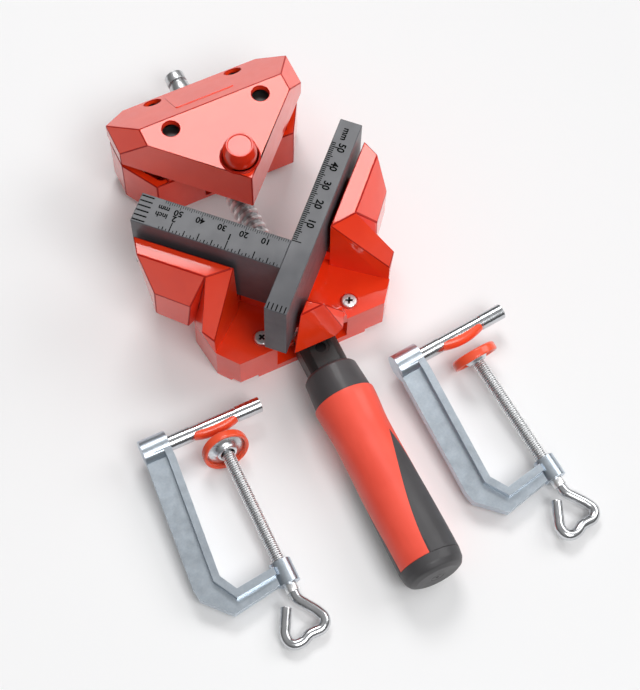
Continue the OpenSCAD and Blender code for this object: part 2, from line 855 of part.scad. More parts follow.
left_clamp_pos = [-57, -40.2, 11.95];
left_clamp_turn = [4.25, 0, 0];
left_plate_tilt = -21;
left_loop_turn = 0;
right_clamp_pos = [62.6, -47.5, 12.1];
right_clamp_turn = [4.1, 0, 5.4];
right_plate_tilt = 10;
right_loop_turn = 8;

module left_clamp_place() {
    translate(left_clamp_pos) rotate(left_clamp_turn) children();
}

module right_clamp_place() {
    translate(right_clamp_pos) rotate(right_clamp_turn) children();
}

arm_y = -throat_h;
nut_end = arm_y - nut_l;
boss_d = 12.6;
bar_boss_end = bar_boss_l - throat_back;
spine_in = -throat_back + 12.5;

// Spine and lower arm of a table clamp's frame
frame_outer = [
    [-throat_back, 0],
    [-throat_back - 0.4, -8],
    [-throat_back - 4.5, arm_y + 4],
    [-throat_back - 3.8, arm_y - 1.5],
    [-27.2, nut_end - 2.8],
    [-4, nut_end + 0.8],
    [-4, arm_y - 2],
    [-22, arm_y - 4],
    [-26.4, arm_y + 4],
    [spine_in, -8],
    [spine_in, 0]
];
flange_inner = [
    [spine_in, 0],
    [spine_in, -8],
    [-26.4, arm_y + 4],
    [-22, arm_y - 4],
    [-4, arm_y - 2]
];
flange_outer = [
    [-4, arm_y - 2 - flange_w],
    [-23.6, arm_y - 4.4 - flange_w],
    [-26.4 - flange_w, arm_y + 3],
    [spine_in - flange_w, -8],
    [spine_in - flange_w, 0]
];

module clamp_frame() {
    color(ZINC) difference() {
        union() {
            translate([0, 0, -web_t / 2]) linear_extrude(web_t) polygon(frame_outer);
            translate([0, 0, -flange_t / 2]) linear_extrude(flange_t)
                polygon(concat(flange_inner, flange_outer));
            translate([-throat_back, 0, 0]) rotate([0, 90, 0]) cylinder(d = boss_d, h = bar_boss_l);
            translate([0, nut_end, 0]) rotate([-90, 0, 0]) cylinder(d = nut_boss_d, h = nut_l);
        }
        translate([bar_boss_end - bar_boss_l + 2, 0, 0]) rotate([0, 90, 0])
            cylinder(d = bar_d + 2 * fit_play, h = bar_boss_l + 5);
        translate([0, nut_end - 5, 0]) rotate([-90, 0, 0])
            cylinder(d = clamp_screw_d + 2 * running_play, h = nut_l + 10);
    }
}

pad_half = 11;
pad_seat_d = bar_d - 0.5;
bar_start = bar_boss_end - bar_boss_l + 2.1;

// Cylinder along +X from x0 to x1 on the bar's axis
module along_bar(d, x0, x1) {
    translate([x0, 0, 0]) rotate([0, 90, 0]) cylinder(d = d, h = x1 - x0);
}

// Bar turned down where the pad sits
module clamp_bar() {
    color(ZINC) {
        along_bar(bar_d, bar_start, -pad_half);
        along_bar(pad_seat_d, -pad_half - 1, pad_half + 1);
        along_bar(bar_d, pad_half, bar_reach);
    }
}

// Plastic pad saddled on the bar, bowed towards the pressure cap
module bar_pad() {
    crown = bar_d / 2 + pad_t;
    edge = bar_d / 2;
    radius = (pow(pad_half, 2) + pow(crown - edge, 2)) / (2 * (crown - edge));
    rim = bar_d / 2 - 0.8;
    color(ORANGE) difference() {
        intersection() {
            along_bar(2 * crown, fit_play - pad_half, pad_half - fit_play);
            translate([-pad_half, -bar_d, -rim]) cube([2 * pad_half, bar_d, 2 * rim]);
            translate([0, radius - crown, -bar_d]) cylinder(r = radius, h = 2 * bar_d, $fn = 96);
        }
        along_bar(pad_seat_d + 2 * fit_play, -pad_half - 1, pad_half + 1);
    }
}

cap_t = 4.6;
plate_y = -cap_gap - cap_t;
screw_tip = -cap_gap - 3;
shank_end = nut_end - 4;

// Straight run and bend of a flat path; a place is [x, y, heading]
function run_on(p, length) = [p[0] + length * cos(p[2]), p[1] + length * sin(p[2]), p[2]];

function bend_on(p, r, a) =
    let (s = sign(a) * r)
    [p[0] - s * sin(p[2]) + s * sin(p[2] + a), p[1] + s * cos(p[2]) - s * cos(p[2] + a), p[2] + a];

bend_parts = 8;

// Places along a path of runs [length] and bends [radius, angle]
function trace(steps, p, i = 0) =
    i == len(steps)
        ? [p]
        : len(steps[i]) == 1
            ? concat([p], trace(steps, run_on(p, steps[i][0]), i + 1))
            : concat(
                [for (k = [0:bend_parts - 1]) bend_on(p, steps[i][0], steps[i][1] * k / bend_parts)],
                trace(steps, bend_on(p, steps[i][0], steps[i][1]), i + 1)
            );

rod_sides = 16;

// Round rod swept along a flat path
module bent_rod(path, d) {
    n = len(path);
    m = rod_sides;
    points = [for (p = path) for (j = [0:m - 1]) let (t = 360 * j / m)
        [p[0] - sin(p[2]) * d / 2 * cos(t), p[1] + cos(p[2]) * d / 2 * cos(t), d / 2 * sin(t)]];
    sides = [for (i = [0:n - 2]) for (j = [0:m - 1]) let (k = (j + 1) % m)
        [i * m + j, i * m + k, (i + 1) * m + k, (i + 1) * m + j]];
    first = [for (j = [0:m - 1]) m - 1 - j];
    last = [for (j = [0:m - 1]) (n - 1) * m + j];
    polyhedron(points, concat(sides, [first, last]));
}

loop_steps = [[2], [6, 34], [15], [4.6, -120], [3, -25], [3, 50], [3, -25], [6], [4.6, -125], [11]];

module clamp_screw() {
    color(ZINC) translate([0, shank_end, 0]) rotate([-90, 0, 0])
        cylinder(d = clamp_screw_d, h = screw_tip - shank_end);
}

module screw_loop(loop_turn) {
    color(ZINC) rotate([0, loop_turn, 0]) translate([0, shank_end, 0])
        bent_rod(trace(loop_steps, [0, 0, -90]), loop_d);
}

hub_d = 9;
ball_room = 0.35;

// Dished plate on the screw's end, tilted about its seat
module pressure_plate(tilt) {
    color(ZINC) difference() {
        translate([0, plate_y + 2, 0]) rotate([tilt, 0, 0]) translate([0, -2, 0]) rotate([-90, 0, 0])
            rotate_extrude() polygon([
                [0, cap_t - 1.4],
                [plate_d / 2, cap_t - 1.4],
                [plate_d / 2, cap_t - 2.2],
                [hub_d / 2 + 0.6, 0.6],
                [hub_d / 2, -1],
                [0, -1]
            ]);
        translate([0, plate_y - 20, 0]) rotate([-90, 0, 0])
            cylinder(d = clamp_screw_d + 2 * ball_room, h = 20 + screw_tip - plate_y + 0.3);
    }
}

// Plastic cap round the plate's rim and face
module pressure_cap(tilt) {
    color(ORANGE) translate([0, plate_y + 2, 0]) rotate([tilt, 0, 0]) translate([0, -2, 0]) rotate([-90, 0, 0])
        rotate_extrude() polygon([
            [0, cap_t - 1.35],
            [plate_d / 2 + 0.05, cap_t - 1.35],
            [plate_d / 2 + 0.05, cap_t - 4],
            [cap_d / 2 - 0.4, cap_t - 4.4],
            [cap_d / 2, cap_t - 3.8],
            [cap_d / 2, cap_t - 0.8],
            [cap_d / 2 - 0.8, cap_t],
            [0, cap_t]
        ]);
}

module left_clamp_frame() { left_clamp_place() clamp_frame(); }
module left_clamp_bar() { left_clamp_place() clamp_bar(); }
module left_bar_pad() { left_clamp_place() bar_pad(); }
module left_clamp_screw() { left_clamp_place() clamp_screw(); }
module left_screw_loop() { left_clamp_place() screw_loop(left_loop_turn); }
module left_pressure_plate() { left_clamp_place() pressure_plate(left_plate_tilt); }
module left_pressure_cap() { left_clamp_place() pressure_cap(left_plate_tilt); }
module right_clamp_frame() { right_clamp_place() clamp_frame(); }
module right_clamp_bar() { right_clamp_place() clamp_bar(); }
module right_bar_pad() { right_clamp_place() bar_pad(); }
module right_clamp_screw() { right_clamp_place() clamp_screw(); }
module right_screw_loop() { right_clamp_place() screw_loop(right_loop_turn); }
module right_pressure_plate() { right_clamp_place() pressure_plate(right_plate_tilt); }
module right_pressure_cap() { right_clamp_place() pressure_cap(right_plate_tilt); }

base_tray();
base_casting();
scale_cover_right();
scale_cover_left();
deck_screws();
bearing_block();
spindle();
thrust_washer();
retaining_collar();
handle_neck();
handle_cross_pin();
handle_collar();
handle_grip();
grip_inserts();
handle_end_cap();
nut_carriage();
release_rocker();
rocker_pin();
half_nut();
release_button();
button_spring();
jaw_shell();
jaw_foot();
jaw_screws();
left_clamp_frame();
left_clamp_bar();
left_bar_pad();
left_clamp_screw();
left_screw_loop();
left_pressure_plate();
left_pressure_cap();
right_clamp_frame();
right_clamp_bar();
right_bar_pad();
right_clamp_screw();
right_screw_loop();
right_pressure_plate();
right_pressure_cap();
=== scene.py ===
"""Looks of a corner clamp and its two table clamps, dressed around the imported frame."""

import math

import bpy
from mathutils import Matrix, Vector


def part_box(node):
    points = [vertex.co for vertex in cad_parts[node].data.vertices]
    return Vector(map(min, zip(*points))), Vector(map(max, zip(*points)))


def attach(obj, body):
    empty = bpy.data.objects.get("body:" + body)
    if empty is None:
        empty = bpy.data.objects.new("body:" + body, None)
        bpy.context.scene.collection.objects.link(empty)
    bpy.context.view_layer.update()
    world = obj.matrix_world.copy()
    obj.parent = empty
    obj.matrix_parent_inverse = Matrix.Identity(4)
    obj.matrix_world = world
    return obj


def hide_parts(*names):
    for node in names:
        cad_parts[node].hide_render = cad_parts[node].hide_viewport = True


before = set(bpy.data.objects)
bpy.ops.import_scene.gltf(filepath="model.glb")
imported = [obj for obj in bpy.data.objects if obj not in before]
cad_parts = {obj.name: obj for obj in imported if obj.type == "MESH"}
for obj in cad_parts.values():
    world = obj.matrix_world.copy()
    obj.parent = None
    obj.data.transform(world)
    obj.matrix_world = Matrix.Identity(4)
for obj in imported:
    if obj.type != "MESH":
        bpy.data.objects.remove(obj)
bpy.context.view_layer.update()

MM = 0.001
HALF = math.sqrt(0.5)

# Sizes shared with the solids, in millimetres

RULER_TOP = 72.0
RIGHT_COVER_TAIL = 34.6
LEFT_COVER_THICK, LEFT_COVER_REACH = 14.5, 68.5
DECK_SCREW_X, DECK_SCREW_Y, DECK_SCREW_TOP = 21.7, -15.5, 23.5
JAW_RIDGE = Vector((0.0, 85.3, 60.4))
JAW_BACK = Vector((0.0, 111.5, 37.7))
TOP_HOLE = (22.1, 79.6, 58.8)
BACK_HOLE = (20.4, 106.64, 40.17)
SPINDLE_Z = 14.8
SPINDLE_R = 5.75
SPINDLE_LEAD = 4.0
SPINDLE_THREAD_DEPTH = 1.15
THREAD_START, THREAD_END = -1.5, 118.0
LEFT_CLAMP = {
    "place": (-57.0, -40.2, 11.95), "turn": (4.25, 0.0, 0.0), "loop_turn": 0.0, "plate_tilt": -21.0
}
RIGHT_CLAMP = {
    "place": (62.6, -47.5, 12.1), "turn": (4.1, 0.0, 5.4), "loop_turn": 8.0, "plate_tilt": 10.0
}
BAR_R = 3.6
PAD_HALF, PAD_T = 11.0, 1.6
LOOP_R = 2.5
SHANK_END = -83.6
PLATE_Y = -15.0
PLATE_R = 9.0
PLATE_PIVOT = 2.0
CLAMP_SCREW_R = 3.0
CLAMP_PITCH = 1.0
CLAMP_THREAD_DEPTH = 0.5
CLAMP_SCREW_END = -13.4
CLAMP_SHANK = 5.0


# Selection and mesh helpers

def deselect():
    bpy.ops.object.select_all(action="DESELECT")


def focus(obj):
    deselect()
    obj.select_set(True)
    bpy.context.view_layer.objects.active = obj


def edit(obj):
    focus(obj)
    bpy.ops.object.mode_set(mode="EDIT")
    bpy.ops.mesh.select_all(action="SELECT")


def leave_edit():
    bpy.ops.object.mode_set(mode="OBJECT")


def apply_modifiers(obj):
    focus(obj)
    for modifier in list(obj.modifiers):
        bpy.ops.object.modifier_apply(modifier=modifier.name)


def settle(obj):
    """Puts the piece's place into its mesh, so its object sits at the origin."""
    focus(obj)
    bpy.ops.object.transform_apply(location=True, rotation=True, scale=True)


def smooth(obj, degrees=32.0):
    focus(obj)
    bpy.ops.object.shade_smooth_by_angle(angle=math.radians(degrees))


def flatten(obj):
    """Keeps large faces flat and lets only the rounded edges shade from one to the next."""
    modifier = obj.modifiers.new("flat", "WEIGHTED_NORMAL")
    modifier.weight = 80
    modifier.keep_sharp = True
    apply_modifiers(obj)


def bevel(obj, width, segments=2, degrees=28.0, edge_shade_slot=-1, clamp=True):
    """Rounds the edges sharper than the angle; width in millimetres."""
    modifier = obj.modifiers.new("edge", "BEVEL")
    modifier.material = edge_shade_slot
    modifier.width = width * MM
    modifier.segments = segments
    modifier.limit_method = "ANGLE"
    modifier.angle_limit = math.radians(degrees)
    modifier.use_clamp_overlap = clamp
    modifier.miter_outer = "MITER_ARC"
    apply_modifiers(obj)


def pick_nothing(obj, kind):
    """Sets the kind of element to pick, with none of them picked."""
    edit(obj)
    bpy.ops.mesh.select_mode(type=kind)
    bpy.ops.mesh.select_all(action="DESELECT")
    leave_edit()


def pick_points(obj, test):
    """Selects the points that pass the test, in millimetres, and stays in edit mode."""
    pick_nothing(obj, "VERT")
    for point in obj.data.vertices:
        point.select = test(point.co / MM)
    bpy.ops.object.mode_set(mode="EDIT")


def pick_edges(obj, test):
    """Selects the edges whose number and ends, in millimetres, pass, and stays in edit mode."""
    pick_nothing(obj, "EDGE")
    points = obj.data.vertices
    for edge in obj.data.edges:
        start, end = (points[i].co / MM for i in edge.vertices)
        edge.select = test(edge.index, start, end)
    bpy.ops.object.mode_set(mode="EDIT")


def pick_faces(obj, test):
    """Selects the faces whose normal passes the test, and stays in edit mode."""
    pick_nothing(obj, "FACE")
    for face in obj.data.polygons:
        face.select = test(face.normal)
    bpy.ops.object.mode_set(mode="EDIT")


def sharp_edges(obj, degrees):
    """Numbers of the edges sharper than the angle."""
    pick_nothing(obj, "EDGE")
    bpy.ops.object.mode_set(mode="EDIT")
    bpy.ops.mesh.edges_select_sharp(sharpness=math.radians(degrees))
    leave_edit()
    return {edge.index for edge in obj.data.edges if edge.select}


def round_long_edges(obj, width, segments, degrees, lowest, edge_shade_slot):
    """Rounds the sharp edges that are long and lie wholly above a height in millimetres."""
    sharp = sharp_edges(obj, degrees)
    pick_edges(obj, lambda number, start, end: number in sharp
               and (start - end).length > LONG_EDGE and min(start.z, end.z) > lowest)
    bpy.ops.mesh.bevel(offset=width * MM, segments=segments, clamp_overlap=False, material=edge_shade_slot)
    leave_edit()


def axes_place(x_axis, y_axis, place):
    """Placing matrix from two axes and a point in millimetres."""
    x, y = Vector(x_axis), Vector(y_axis)
    turn = Matrix((x, y, x.cross(y))).transposed().to_4x4()
    return Matrix.Translation(Vector(place) * MM) @ turn


def placed_copy(obj, matrix):
    """A copy with its own mesh, put down by a matrix."""
    twin = obj.copy()
    twin.data = obj.data.copy()
    bpy.context.scene.collection.objects.link(twin)
    twin.matrix_world = matrix
    return twin


def remove(obj):
    bpy.data.objects.remove(obj, do_unlink=True)


def box(name, size, place=(0.0, 0.0, 0.0)):
    """Box of a size and place in millimetres."""
    deselect()
    bpy.ops.mesh.primitive_cube_add(size=1.0)
    obj = bpy.context.object
    obj.name = name
    obj.scale = [side * MM for side in size]
    obj.location = Vector(place) * MM
    settle(obj)
    return obj


def recalculate(obj):
    edit(obj)
    bpy.ops.mesh.remove_doubles(threshold=1e-7)
    bpy.ops.mesh.normals_make_consistent(inside=False)
    leave_edit()


def join(name, objects):
    deselect()
    for obj in objects:
        obj.select_set(True)
    bpy.context.view_layer.objects.active = objects[0]
    if len(objects) > 1:
        bpy.ops.object.join()
    objects[0].name = name
    return objects[0]


def give(obj, material, body, slot, *nodes):
    """Paints a piece that has no paint yet, sets its body and hides the solids it stands for; slot is not
    used.
    """
    if len(obj.data.materials) == 0:
        obj.data.materials.append(material)
    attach(obj, body)
    if nodes:
        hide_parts(*nodes)
    return obj


def merged_copy(node, name):
    """A welded copy of a solid's mesh, its flat faces joined up again."""
    obj = bpy.data.objects.new(name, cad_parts[node].data.copy())
    obj.data.materials.clear()
    bpy.context.scene.collection.objects.link(obj)
    edit(obj)
    bpy.ops.mesh.remove_doubles(threshold=2e-6)
    bpy.ops.mesh.dissolve_limited(angle_limit=math.radians(0.6))
    leave_edit()
    return obj


# Materials

def blank_material(name):
    material = bpy.data.materials.new(name)
    material.use_nodes = True
    nodes = material.node_tree.nodes
    nodes.clear()
    output = nodes.new("ShaderNodeOutputMaterial")
    shader = nodes.new("ShaderNodeBsdfPrincipled")
    material.node_tree.links.new(shader.outputs["BSDF"], output.inputs["Surface"])
    return material, shader


def noise(material, scale, detail=3.0):
    tree = material.node_tree
    place = tree.nodes.new("ShaderNodeTexCoord")
    pattern = tree.nodes.new("ShaderNodeTexNoise")
    pattern.inputs["Scale"].default_value = scale
    pattern.inputs["Detail"].default_value = detail
    pattern.inputs["Roughness"].default_value = 0.55
    tree.links.new(place.outputs["Object"], pattern.inputs["Vector"])
    return pattern.outputs["Fac"]


def ramp(material, source, stops):
    tree = material.node_tree
    node = tree.nodes.new("ShaderNodeValToRGB")
    elements = node.color_ramp.elements
    while len(elements) < len(stops):
        elements.new(0.5)
    for element, (position, colour) in zip(elements, stops):
        element.position = position
        element.color = (*colour, 1.0)
    tree.links.new(source, node.inputs["Fac"])
    return node.outputs["Color"]


def map_range(tree, source, from_low, from_high, to_low, to_high):
    """Maps a value from one range to another and stops at its ends."""
    node = tree.nodes.new("ShaderNodeMapRange")
    node.inputs["From Min"].default_value = from_low
    node.inputs["From Max"].default_value = from_high
    node.inputs["To Min"].default_value = to_low
    node.inputs["To Max"].default_value = to_high
    tree.links.new(source, node.inputs["Value"])
    return node.outputs["Result"]


def spread(material, source, low, high):
    """Maps a noise pattern to the range from low to high."""
    return map_range(material.node_tree, source, 0.3, 0.7, low, high)


def bump(material, shader, source, strength, distance):
    tree = material.node_tree
    node = tree.nodes.new("ShaderNodeBump")
    node.inputs["Strength"].default_value = strength
    node.inputs["Distance"].default_value = distance
    tree.links.new(source, node.inputs["Height"])
    tree.links.new(node.outputs["Normal"], shader.inputs["Normal"])


def coated(name, dark, light, rough, coat, grain, grain_depth, gloss=0.5):
    """Paint or plastic: a mottled colour, uneven gloss and a fine surface grain."""
    material, shader = blank_material(name)
    links = material.node_tree.links
    cloud = noise(material, 55.0, 2.0)
    links.new(ramp(material, cloud, [(0.35, dark), (0.65, light)]), shader.inputs["Base Color"])
    links.new(spread(material, noise(material, 180.0), *rough), shader.inputs["Roughness"])
    bump(material, shader, noise(material, grain, 2.0), 0.35, grain_depth)
    shader.inputs["Specular IOR Level"].default_value = gloss
    shader.inputs["Coat Weight"].default_value = coat
    shader.inputs["Coat Roughness"].default_value = 0.06
    return material


def plated(name, dark, light, rough, grain, grain_depth, cloud_scale=90.0):
    """Plated or bare metal with soft tarnish and a fine grain."""
    material, shader = blank_material(name)
    links = material.node_tree.links
    cloud = noise(material, cloud_scale, 4.0)
    links.new(ramp(material, cloud, [(0.3, dark), (0.7, light)]), shader.inputs["Base Color"])
    links.new(spread(material, noise(material, 260.0), *rough), shader.inputs["Roughness"])
    bump(material, shader, noise(material, grain, 3.0), 0.3, grain_depth)
    shader.inputs["Metallic"].default_value = 1.0
    return material


def thread_metal(name, place, turn, root, crest):
    """Plated thread, darker towards the root as painted shade; place and turn put +Y on its axis."""
    material, shader = blank_material(name)
    tree = material.node_tree
    coords = tree.nodes.new("ShaderNodeTexCoord")
    local = tree.nodes.new("ShaderNodeMapping")
    local.vector_type = "TEXTURE"
    local.inputs["Location"].default_value = Vector(place) * MM
    local.inputs["Rotation"].default_value = [math.radians(degrees) for degrees in turn]
    tree.links.new(coords.outputs["Object"], local.inputs["Vector"])
    off_axis = tree.nodes.new("ShaderNodeVectorMath")
    off_axis.operation = "MULTIPLY"
    off_axis.inputs[1].default_value = (1.0, 0.0, 1.0)
    tree.links.new(local.outputs["Vector"], off_axis.inputs[0])
    radius = tree.nodes.new("ShaderNodeVectorMath")
    radius.operation = "LENGTH"
    tree.links.new(off_axis.outputs["Vector"], radius.inputs[0])
    height = map_range(tree, radius.outputs["Value"], root * MM, crest * MM, 0.0, 1.0)
    # Painted shade: darker at the thread's root, lighter towards its crest.
    root_shade = ramp(material, height,
                [(0.0, (0.52, 0.53, 0.54)), (0.4, (0.78, 0.79, 0.80)), (0.85, (0.97, 0.97, 0.97))])
    tree.links.new(root_shade, shader.inputs["Base Color"])
    tree.links.new(spread(material, noise(material, 420.0), 0.32, 0.40), shader.inputs["Roughness"])
    bump(material, shader, noise(material, 2600.0, 3.0), 0.3, 1e-5)
    shader.inputs["Metallic"].default_value = 1.0
    return material


red_paint = coated("red_paint", (0.92, 0.041, 0.006), (0.97, 0.049, 0.008), (0.30, 0.36),
                   0.9, 1400.0, 4e-6, 0.15)
# Darker copy of the red paint for the rounded edges: painted shade, not a second paint.
red_edge_painted_shade = coated("red_edge_painted_shade", (0.46, 0.010, 0.003), (0.52, 0.013, 0.004), (0.40, 0.50),
                  0.1, 1400.0, 4e-6, 0.1)
red_plastic = coated("red_plastic", (0.84, 0.034, 0.010), (0.90, 0.042, 0.014), (0.28, 0.34),
                     0.8, 1800.0, 4e-6, 0.2)
cover_grey = coated("cover_grey", (0.068, 0.069, 0.078), (0.086, 0.087, 0.098), (0.40, 0.50),
                    0.15, 5200.0, 2e-5)
mark_black = coated("mark_black", (0.002, 0.002, 0.002), (0.004, 0.004, 0.004), (0.6, 0.7),
                    0.0, 3000.0, 1e-5, 0.04)
neck_black = coated("neck_black", (0.010, 0.010, 0.010), (0.016, 0.016, 0.016), (0.38, 0.48),
                    0.1, 2600.0, 2e-5)
soft_grey = coated("soft_grey", (0.050, 0.048, 0.051), (0.062, 0.060, 0.063), (0.45, 0.55),
                   0.1, 3600.0, 3e-5)
grip_red = coated("grip_red", (0.93, 0.090, 0.052), (0.98, 0.104, 0.062), (0.38, 0.46),
                  0.15, 3000.0, 2e-5)
pad_orange = coated("pad_orange", (0.90, 0.085, 0.026), (0.95, 0.100, 0.034), (0.28, 0.36),
                    0.4, 2400.0, 1e-5)
zinc_cast = plated("zinc_cast", (0.52, 0.59, 0.66), (0.60, 0.66, 0.72), (0.30, 0.36),
                   1500.0, 1.5e-5, 900.0)
zinc_bright = plated("zinc_bright", (0.66, 0.68, 0.70), (0.78, 0.80, 0.82), (0.16, 0.26), 2600.0, 1e-5)
screw_white = plated("screw_white", (0.80, 0.81, 0.82), (0.90, 0.90, 0.90), (0.30, 0.42), 2600.0, 1e-5)
pin_dark = plated("pin_dark", (0.030, 0.030, 0.032), (0.050, 0.050, 0.052), (0.35, 0.45), 2200.0, 1e-5)
chrome = plated("chrome", (0.60, 0.62, 0.64), (0.70, 0.71, 0.73), (0.16, 0.20), 3000.0, 1e-6)
loop_steel = plated("loop_steel", (0.60, 0.61, 0.63), (0.72, 0.73, 0.75), (0.16, 0.24), 2600.0, 1e-5)
plate_steel = plated("plate_steel", (0.70, 0.72, 0.74), (0.80, 0.82, 0.84), (0.26, 0.34), 2600.0, 1e-5)
bare_casting = plated("bare_casting", (0.22, 0.22, 0.23), (0.30, 0.30, 0.31), (0.40, 0.55),
                      1500.0, 6e-5)
brass = plated("brass", (0.58, 0.42, 0.16), (0.66, 0.48, 0.20), (0.22, 0.34), 2200.0, 1e-5)


# Pieces that keep the solid's form with rounded edges

LONG_EDGE = 4.0
ABOVE_DECK = 23.6


def dress(node, body, slot, material, width, segments=2, degrees=28.0, shade=32.0, edge=None,
          clamp=True, lowest=None):
    """A solid's form with rounded edges, in a darker edge material if there is one: painted shade.

    With lowest, only the long edges above that height are rounded.
    """
    obj = merged_copy(node, node + "_dressed")
    obj.data.materials.append(material)
    edge_shade_slot = -1
    # The edge material paints the rounded edges darker: painted shade.
    if edge:
        obj.data.materials.append(edge)
        edge_shade_slot = 1
    if lowest is not None:
        round_long_edges(obj, width, segments, degrees, lowest, edge_shade_slot)
    elif width:
        bevel(obj, width, segments, degrees, edge_shade_slot, clamp)
    smooth(obj, shade)
    flatten(obj)
    return give(obj, material, body, slot, node)


dress("base_tray", "base", "red_casting", red_paint, 0.5, edge=red_edge_painted_shade)
dress("base_casting", "base", "red_casting", red_paint, 0.5, 3, 18.0, 15.0, red_edge_painted_shade, lowest=ABOVE_DECK)
dress("jaw_shell", "jaw", "red_casting", red_paint, 0.4, 3, 18.0, edge=red_edge_painted_shade, clamp=False)
dress("jaw_foot", "jaw", "red_casting", red_paint, 0.5, edge=red_edge_painted_shade)
dress("bearing_block", "bearing", "inner_casting", bare_casting, 0.4)
dress("thrust_washer", "spindle", "zinc_screws", zinc_bright, 0.2)
dress("retaining_collar", "spindle", "zinc_screws", zinc_bright, 0.3)
dress("handle_neck", "spindle", "black_plastic", neck_black, 0.8, 3)
dress("handle_cross_pin", "spindle", "zinc_screws", pin_dark, 0.3)
dress("handle_collar", "spindle", "grey_plastic", soft_grey, 0.5, 3, 20.0)
dress("handle_grip", "spindle", "red_grip", grip_red, 0.4, 2, 40.0)
dress("grip_inserts", "spindle", "grey_plastic", soft_grey, 0.3, 2, 40.0)
dress("handle_end_cap", "spindle", "grey_plastic", soft_grey, 0.6, 3, 12.0)
dress("nut_carriage", "carriage", "inner_casting", bare_casting, 0.4)
dress("release_rocker", "rocker", "inner_casting", bare_casting, 0.4)
dress("rocker_pin", "carriage", "zinc_screws", pin_dark, 0.3)
dress("half_nut", "rocker", "half_nut_brass", brass, 0.3)
dress("release_button", "button", "red_button", red_plastic, 0.7, 3)
dress("button_spring", "carriage", "zinc_screws", zinc_bright, 0.0)
dress("jaw_screws", "jaw", "zinc_screws", pin_dark, 0.3)
for side in ("left", "right"):
    dress(side + "_clamp_frame", side + "_clamp", "zinc_frame", zinc_cast, 0.6, 3)
    dress(side + "_clamp_bar", side + "_clamp", "chrome_bar", chrome, 0.8, 3)
    dress(side + "_pressure_cap", side + "_plate", "orange_pad", pad_orange, 0.4, 3)


# Scale covers and their marks

MARK_H = 0.12
COVER_DROP = 0.04
INCH = 25.4
RIGHT_ALONG, RIGHT_IN = Vector((HALF, HALF, 0.0)), Vector((-HALF, HALF, 0.0))
LEFT_ALONG, LEFT_IN = Vector((-HALF, HALF, 0.0)), Vector((HALF, HALF, 0.0))


def scale_cover(node):
    """Cover whose top lies just below its printed marks."""
    obj = merged_copy(node, node + "_dressed")
    bevel(obj, 0.35, 3)
    pick_points(obj, lambda p: p.z > RULER_TOP - 0.5)
    bpy.ops.transform.translate(value=(0.0, 0.0, -COVER_DROP * MM))
    leave_edit()
    smooth(obj)
    flatten(obj)
    return give(obj, cover_grey, "base", "scale_plastic", node)


def mark_tick(length, width):
    """Raised print line running in +Y from the origin, its top at z = 0."""
    obj = box("tick", (width, length, MARK_H), (0.0, length / 2, -MARK_H / 2))
    pick_faces(obj, lambda normal: normal.z > 0.9)
    bpy.ops.mesh.inset(thickness=0.1 * width * MM)
    leave_edit()
    return obj


def mark_text(words, size):
    deselect()
    bpy.ops.object.text_add()
    obj = bpy.context.object
    obj.data.body = words
    obj.data.size = size * MM
    obj.data.align_x = "CENTER"
    obj.data.align_y = "CENTER"
    obj.data.extrude = MARK_H / 2 * MM
    obj.data.offset = 0.03 * size * MM
    obj.data.resolution_u = 3
    bpy.ops.object.convert(target="MESH")
    obj = bpy.context.object
    obj.location = (0.0, 0.0, -MARK_H / 2 * MM)
    settle(obj)
    return obj


class Marks:
    """Marks printed on one cover, which runs along one direction; inward is towards the work."""

    def __init__(self, along, inward):
        self.along, self.inward = along, inward
        self.parts, self.ticks = [], {}

    def point(self, along, across):
        return self.along * along - self.inward * across + Vector((0.0, 0.0, RULER_TOP))

    def line(self, along, across, length, width, heading):
        key = (length, width)
        if key not in self.ticks:
            self.ticks[key] = mark_tick(length, width)
        side = heading.cross(Vector((0.0, 0.0, 1.0)))
        place = axes_place(side, heading, self.point(along, across))
        self.parts.append(placed_copy(self.ticks[key], place))

    def word(self, words, size, along, across, x_axis, y_axis):
        obj = mark_text(words, size)
        obj.matrix_world = axes_place(x_axis, y_axis, self.point(along, across))
        self.parts.append(obj)

    def done(self, name):
        for obj in self.ticks.values():
            remove(obj)
        obj = join(name, self.parts)
        settle(obj)
        recalculate(obj)
        return give(obj, mark_black, "base", "scale_plastic")


def millimetre_length(i):
    if i == 0:
        return 4.2
    for step, length in ((10, 3.8), (5, 2.8)):
        if i % step == 0:
            return length
    return 2.0


def inch_length(sixteenths):
    for step, length in ((16, 4.6), (8, 3.6), (4, 2.6), (2, 1.5)):
        if sixteenths % step == 0:
            return length
    return 1.0


def right_marks():
    marks = Marks(RIGHT_ALONG, RIGHT_IN)
    for i in range(53):
        marks.line(i, 0.3, millimetre_length(i), 0.48, -RIGHT_IN)
    for i in range(10, 60, 10):
        marks.word(str(i), 4.6, i + 0.4, 5.2, -RIGHT_ALONG, -RIGHT_IN)
    marks.word("mm", 4.2, 57.6, 4.6, -RIGHT_ALONG, -RIGHT_IN)
    for i in range(5):
        marks.line(0.4 - RIGHT_COVER_TAIL, 1.3 + 1.9 * i, 3.2, 0.5, RIGHT_ALONG)
    return marks.done("right_scale_marks")


